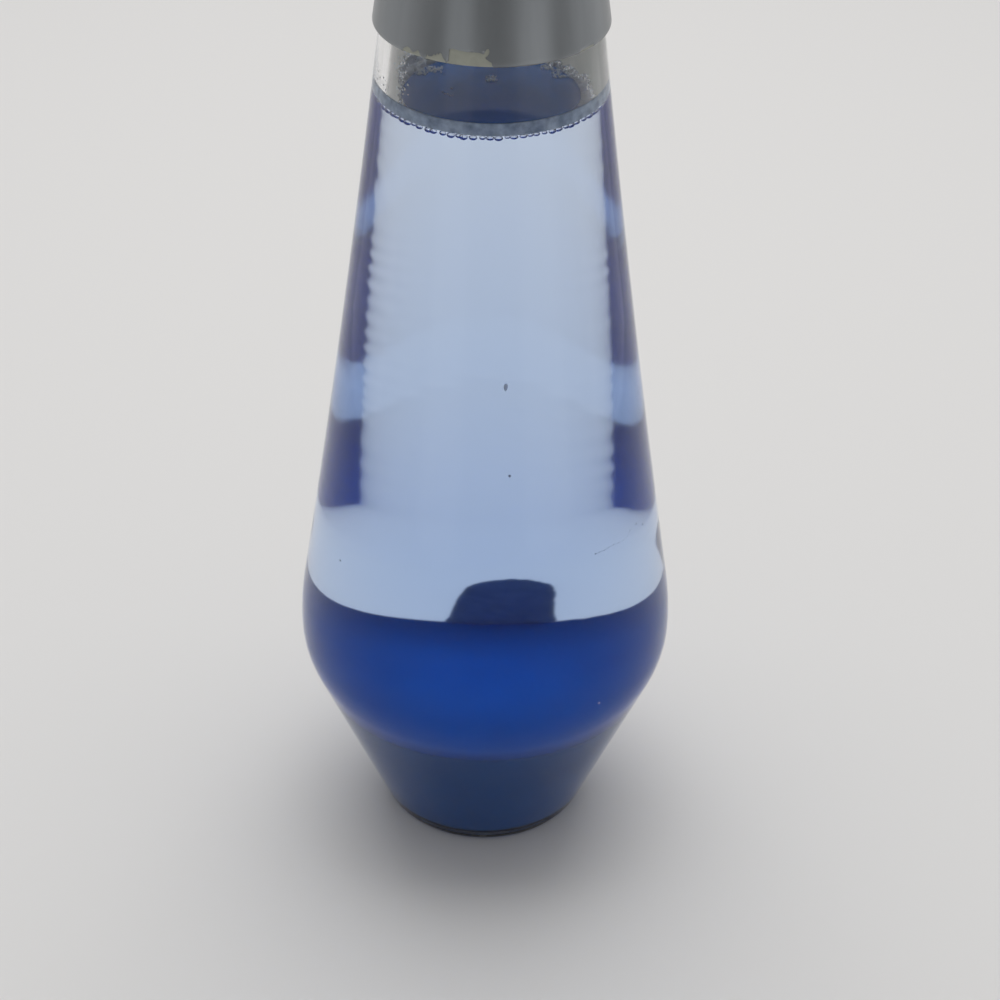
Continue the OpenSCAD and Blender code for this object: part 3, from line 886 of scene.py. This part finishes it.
def dried_film():
    rng = random.Random(FILM_SEED)
    verts, faces, white, wet = [], [], [], []
    for side, ends in FILM_ENDS.items():
        first = len(verts)
        for depth in FILM_DEPTHS[side]:
            for i in range(FILM_ROWS + 1):
                up = FILM_LOW + (FILM_HIGH - FILM_LOW) * i / FILM_ROWS
                end = film_end(ends, up) + ragged("front", side, up)
                back = film_end(FILM_BACK_ENDS, up) + ragged("back", side, up)
                for k in range(FILM_COLUMNS + 1):
                    turn = end + (back - end) * k / FILM_COLUMNS
                    lift = ragged("top", side, turn) * (up - FILM_LOW) / (FILM_HIGH - FILM_LOW)
                    verts.append(on_glass(side, turn, up + lift, depth))
        across = FILM_COLUMNS + 1
        count = (FILM_ROWS + 1) * across
        cells = [i * across + k for i in range(FILM_ROWS) for k in range(FILM_COLUMNS)]
        sheet = [[c, c + 1, c + 1 + across, c + across][::side] for c in cells]
        rim = [[b, a, a + count, b + count] for a, b in rim_edges(sheet)]
        back = [[i + count for i in reversed(f)] for f in sheet]
        faces += [[first + i for i in f] for f in sheet + back + rim]
        for _ in range(FILM_SPECKS):
            up = rng.uniform(FILM_LOW + FILM_SPECK_LOW, FILM_HIGH)
            r = rng.uniform(*FILM_SPECK_R)
            turn = film_end(ends, up) + rng.gauss(FILM_SPECK_TURN, FILM_SPECK_SPREAD)
            middle = on_glass(side, turn, up, r * FILM_SPECK_SINK)
            radii = (r, r * FILM_SPECK_FLAT, r * FILM_SPECK_LONG)
            kind = white if rng.random() < FILM_WHITE else wet
            kind.append((middle, radii, spin(side * math.radians(turn))))
    make("dried_film", verts, faces, "globe", RESIDUE)
    scatter("film_specks", white, "globe", FOAM)
    scatter("film_drops", wet, "globe", DROP)


# Painted cap

PAINT_T = 0.1  # thickness of the paint on its primer
HEM_TURN, HEM_PLACES = 2.6, (1, 0.8, 0.6, 0.45, 0.3, 0.15)  # angle round the hem, and points along it
HEM = len(HEM_PLACES)
CAP_ROW, CAP_ROWS = 0.6, 15  # fine rows of the paint above the hem, where it has chipped
CAP_WIDE_ROWS = (0.25, 0.5, 0.75)  # rows above those, as shares of the way up to the top's corner
LID_RINGS = 8
PATCH_LEFT, PATCH_RIGHT = -70, 78  # degrees from the front between which the paint is cut along its chips
FRONT = 0.75  # the front, as a share of a turn from +X
EDGE_SLACK = 1e-3  # paint nearer than this to the patch's edge is on it
ROW_SLACK = 1e-6  # paint this little below a row is on it

# Upper edges of the chips from left to right, as points of the picture; each chip reaches down round the rim
CHIPS = [
    [(399.1, 49.3), (403.6, 47.5), (407.5, 46.4), (409.8, 48.2), (411.6, 50.9), (413, 52.3), (415.4, 51.4),
     (417.5, 50), (418.9, 51.4), (419.5, 54.5), (420.4, 57.5)],
    [(421.6, 59), (422.3, 57.5), (425.9, 56.8), (427, 54.1), (428.6, 56.3), (431.8, 56.3), (433.9, 53.9),
     (435.5, 55.4), (437, 53), (438.6, 54.6), (440.2, 52.3), (441.6, 54.6), (442.9, 58), (445, 60.7),
     (447, 62.5)],
    [(448.4, 60.7), (448.8, 55.4), (449.3, 49.1), (452.7, 48.6), (458.9, 50.5), (466.1, 52), (475, 52.5),
     (479.5, 53), (483.6, 54.5), (485.2, 51.8), (486.6, 49.6), (488.4, 48.9), (489.6, 50.9), (489.3, 53.6),
     (487.5, 56.3), (485.4, 58), (486.1, 59.3), (489.3, 61.6), (491.6, 62.9), (492, 65.5)],
    [(576, 53), (581, 50.6), (586, 48.6), (591, 46.2), (594, 43.6), (597, 43.2)],
]


def cap_outline(inset):
    """The cap's outside from under its hem to the middle of its top, inset under the paint's surface."""
    hem, top = point(CAP_RIM_R - HEM_D / 2, CAP_Z + HEM_D / 2), point(CAP_TOP_R, CAP_TOP_Z)
    aim = top - hem
    lean = math.atan2(aim.y, aim.x) - math.acos(HEM_D / 2 / aim.length)
    out = point(math.cos(lean), math.sin(lean))
    up = point(-out.y, out.x)
    r = HEM_D / 2 - inset
    angles = [lean - t * HEM_TURN for t in HEM_PLACES]
    arc = [hem + r * point(math.cos(a), math.sin(a)) for a in angles]
    start = hem + out * r
    rows = [start + up * (CAP_ROW * i) for i in range(CAP_ROWS + 1)]
    middle = point(0, CAP_TOP_Z - inset)
    corner = meet(start, start + up, middle, middle + point(1, 0))
    rows += [rows[-1].lerp(corner, t) for t in CAP_WIDE_ROWS]
    edge = rounded(rows[-1], corner, middle, CAP_ROUND - inset)
    lid = [point(edge[-1].x * (1 - i / LID_RINGS), middle.y) for i in range(1, LID_RINGS + 1)]
    return arc + rows + edge + lid


PATCH_ROWS = HEM + CAP_ROWS  # rows of the outline from its start up to where the chips end


def cap_shell():
    outer = cap_outline(PAINT_T)
    up = cap_outline(CAP_WALL)
    inner = up[HEM + 1 :]
    outline = outer + inner[::-1] + [up[HEM], outer[0]]
    stretches = [0] * (len(outer) - 1) + [1] * (len(outline) - len(outer))
    obj = lathe("cap_shell", outline, "cap", [PRIMER, BARE], stretches)
    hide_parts("top_cap")


def cap_film():
    outline, under = cap_outline(0), cap_outline(PAINT_T)
    lengths = [0.0]
    for a, b in zip(outline, outline[1:]):
        lengths.append(lengths[-1] + (b - a).length)
    first, last = (round(TURNS * (FRONT + a / 360)) for a in (PATCH_LEFT, PATCH_RIGHT))
    arc = CAP_RIM_R * 2 * math.pi / TURNS

    def place(p, line):
        """The point p of the unrolled paint, across and up, on an outline."""
        j = max(i for i in range(len(lengths) - 1) if lengths[i] <= p.y + ROW_SLACK)
        t = (p.y - lengths[j]) / (lengths[j + 1] - lengths[j])
        return turned(line[j].lerp(line[j + 1], t), p.x / CAP_RIM_R)

    def unrolled(x, y):
        """The unrolled place of the picture's point x, y, or None where it isn't on the cap's side."""
        p = hit(x, y, lambda z: cap_side(outline, z))
        if p is None or p.z < outline[HEM].y:
            return None
        j = next(i for i in range(HEM, len(outline)) if outline[i + 1].y > p.z)
        share = (p.z - outline[j].y) / (outline[j + 1].y - outline[j].y)
        up = lengths[j] + share * (lengths[j + 1] - lengths[j])
        return point((math.atan2(p.y, p.x) % (2 * math.pi)) * CAP_RIM_R, up)

    chips = []
    for upper in CHIPS:
        line = [p for p in (unrolled(*p) for p in upper) if p]
        chips.append([point(line[0].x, 0)] + line + [point(line[-1].x, 0)])

    verts, faces = [], []
    for p in outline:
        verts += [turned(p, 2 * math.pi * k / TURNS) for k in range(TURNS)]
    for j in range(len(outline) - 1):
        for k in range(TURNS):
            if j < PATCH_ROWS and first <= k < last:
                continue
            n = (k + 1) % TURNS
            faces.append((j * TURNS + k, j * TURNS + n, (j + 1) * TURNS + n, (j + 1) * TURNS + k))

    grid = [point(k * arc, lengths[j]) for k in range(first, last + 1) for j in range(PATCH_ROWS + 1)]
    ties = []
    for chip in chips:
        start = len(grid)
        grid += chip
        ties += [(start + i, start + (i + 1) % len(chip)) for i in range(len(chip))]
    flat, _, patch, _, _, _ = geometry.delaunay_2d_cdt(grid, ties, [], 0, TINY)
    kept = []
    for f in patch:
        middle = sum((flat[i] for i in f), point(0, 0)) / len(f)
        if not any(in_outline(middle, chip) for chip in chips):
            kept.append(list(f))
    base = len(verts)
    verts += [place(p, outline) for p in flat]
    faces += [[base + i for i in f] for f in kept]
    low, high = EDGE_SLACK, lengths[PATCH_ROWS] - EDGE_SLACK
    left, right = first * arc + EDGE_SLACK, last * arc - EDGE_SLACK
    for a, b in rim_edges(kept):
        p, q = flat[a], flat[b]
        level_end = max(p.y, q.y) < low or min(p.y, q.y) > high
        side_end = max(p.x, q.x) < left or min(p.x, q.x) > right
        if level_end or side_end:
            continue
        start = len(verts)
        verts += [place(p, outline), place(q, outline), place(q, under), place(p, under)]
        faces.append((start + 1, start, start + 3, start + 2))
    obj = make("cap_paint_film", verts, faces, "cap", PAINT)


def cap_side(outline, z):
    """Radius of the cap's side at a height, or nothing below its rim."""
    if z < CAP_Z + HEM_D / 2:
        return CAP_RIM_R if z > CAP_Z else 0
    return next(a.lerp(b, (z - a.y) / (b.y - a.y)).x for a, b in zip(outline, outline[1:]) if a.y <= z < b.y)


# Crown closure under the cap

CROWN_RINGS, CROWN_RING_W, SKIRT_STEPS = 10, 1.2, 6
FLUTE_TURNS, FLUTE_SHARP = 16, 1.6  # steps across a flute, and how narrow its valley is
CROWN_MIDDLE = 0.1  # nothing is fluted this near the axis


def crown():
    low, high = (v[2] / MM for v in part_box("crown_cap"))
    top_r = BEAD_R + CROWN_GAP + CROWN_SHEET
    middle, corner = point(0, high), point(top_r, high)
    skirt = point(top_r, high - CROWN_ROUND - CROWN_SHEET)
    edge = point(CROWN_EDGE_R, low)
    outer = [
        *[point(i * CROWN_RING_W, high) for i in range(CROWN_RINGS)],
        *rounded(middle, corner, skirt, CROWN_ROUND),
        *[skirt.lerp(edge, i / SKIRT_STEPS) for i in range(SKIRT_STEPS + 1)],
    ]
    before, after = outer[:1] + outer[:-1], outer[1:] + outer[-1:]
    shift = [beside(p, a, b, -CROWN_SHEET) for p, a, b in zip(outer, before, after)]
    inner = [point(max(0, p.x), p.y) for p in shift][::-1]

    def flute(v):
        if v.xy.length <= CROWN_MIDDLE:
            return v
        share = max(0, min(1, (skirt.y - v.z) / (skirt.y - low)))
        t = math.atan2(v.y, v.x)
        wave = abs(math.cos(t * FLUTES / 2)) ** FLUTE_SHARP
        return v - Vector((v.x, v.y, 0)).normalized() * (FLUTE_DEPTH * share * wave)

    obj = lathe("crown_closure", outer + inner, "globe", TINPLATE, turns=FLUTES * FLUTE_TURNS, shape=flute)
    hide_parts("crown_cap")


# Stage

FLOOR_COLOUR, FLOOR_HALF = (0.72, 0.71, 0.70), 4.0
FLOOR_GRAIN, FLOOR_ROUGH = 3, (0.55, 0.65)
WORLD_FRONT, WORLD_BACK = 0.36, 0.54
LAMP_WATTS, LAMP_SIZE, LAMP_PLACE, LAMP_AIM = 9.4, 1.2, (0, 0.38, 1.12), (0, 0, 0.1)
# Strips of light that only reflections show: turn from the front, width and brightness
STRIPS = [(-29.5, 0.14, 0.6), (40.5, 0.17, 0.55), (-104, 0.28, 0.25), (104, 0.28, 0.3)]
STRIP_AWAY, STRIP_HIGH = 0.30, 0.22
BOUNCES, GLOSSY_BOUNCES, CLEAR_BOUNCES = 48, 32, 40  # enough for the many clear walls


def add_lamp(name, place, aim, width, height, watts):
    lamp = bpy.data.lights.new(name, "AREA")
    lamp.shape, lamp.size, lamp.size_y, lamp.energy = "RECTANGLE", width, height, watts
    obj = bpy.data.objects.new(name, lamp)
    obj.location = place
    obj.rotation_euler = (Vector(aim) - obj.location).to_track_quat("-Z", "Y").to_euler()
    bpy.context.scene.collection.objects.link(obj)
    return obj


def stage():
    mesh = bpy.data.meshes.new("floor")
    s = FLOOR_HALF
    mesh.from_pydata([(-s, -s, 0), (s, -s, 0), (s, s, 0), (-s, s, 0)], [], [(0, 1, 2, 3)])
    mesh.materials.append(textured("floor", FLOOR_COLOUR, FLOOR_COLOUR, FLOOR_GRAIN, FLOOR_ROUGH))
    floor = bpy.data.objects.new("floor", mesh)
    bpy.context.scene.collection.objects.link(floor)
    world = bpy.data.worlds.new("world")
    world.use_nodes = True
    nodes, links = world.node_tree.nodes, world.node_tree.links
    way, split, level = (nodes.new("ShaderNode" + n) for n in ("TexCoord", "SeparateXYZ", "MapRange"))
    level.inputs["From Min"].default_value = -1
    level.inputs["To Min"].default_value, level.inputs["To Max"].default_value = WORLD_FRONT, WORLD_BACK
    links.new(way.outputs["Generated"], split.inputs[0])
    links.new(split.outputs["Y"], level.inputs["Value"])
    nodes["Background"].inputs["Color"].default_value = (1, 1, 1, 1)
    links.new(level.outputs["Result"], nodes["Background"].inputs["Strength"])
    bpy.context.scene.world = world
    add_lamp("softbox", LAMP_PLACE, LAMP_AIM, LAMP_SIZE, LAMP_SIZE, LAMP_WATTS)
    for turn, width, glow in STRIPS:
        way = Vector((math.sin(math.radians(turn)), -math.cos(math.radians(turn)), 0))
        middle = Vector((0, 0, STRIP_HIGH / 2))
        watts = glow * math.pi * width * STRIP_HIGH
        strip = add_lamp("strip", middle + way * STRIP_AWAY, middle, width, STRIP_HIGH, watts)
        strip.visible_camera = strip.visible_diffuse = strip.visible_transmission = False


camera()
glass()
wax_pool()
wax_lump()
wire_coil()
liquid()
froth_collar()
bubbles()
wax_marks()
dried_film()
cap_shell()
cap_film()
crown()
bpy.data.objects["crown_liner"].material_slots[0].material = LINER
stage()
bpy.context.scene.view_settings.view_transform = "Standard"
cycles = bpy.context.scene.cycles
cycles.max_bounces = BOUNCES
cycles.glossy_bounces = GLOSSY_BOUNCES
cycles.transmission_bounces = CLEAR_BOUNCES
